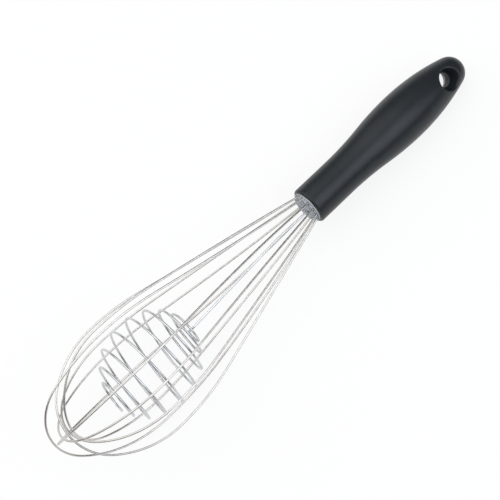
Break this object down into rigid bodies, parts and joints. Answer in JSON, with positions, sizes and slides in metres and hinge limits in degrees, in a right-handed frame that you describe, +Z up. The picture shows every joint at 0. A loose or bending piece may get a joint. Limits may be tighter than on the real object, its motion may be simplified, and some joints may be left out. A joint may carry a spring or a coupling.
{
  "type": "balloon whisk with inner beater coil",
  "caption": "Balloon whisk lying on its side, with a dark grip, a hang hole, bent wire loops and a barrel-shaped wire coil inside the balloon.",
  "frame": {"origin": "on the floor, under the centre of the whisk's bounding box as it lies at rest", "axes": "+X from the handle to the tip of the balloon, +Z up from the floor it lies on, +Y to the left of the way from handle to tip"},
  "size_m": [0.3034, 0.066, 0.0679],
  "materials": {
    "soft_grip": "matt",
    "hard_core": "satin",
    "plug_plastic": "satin",
    "cast_resin": "cast",
    "polished_wire": "polished",
    "spring_wire": "satin"
  },
  "bodies": {
    "root": {"handle_grip": "soft_grip", "handle_core": "hard_core", "wire_plug": "plug_plastic", "resin_seal": "cast_resin", "wire_loop_1": "polished_wire", "wire_loop_2": "polished_wire", "wire_loop_3": "polished_wire", "wire_loop_4": "polished_wire", "wire_loop_5": "polished_wire", "wire_loop_6": "polished_wire", "beater_coil": "spring_wire"}
  },
  "joints": []
}
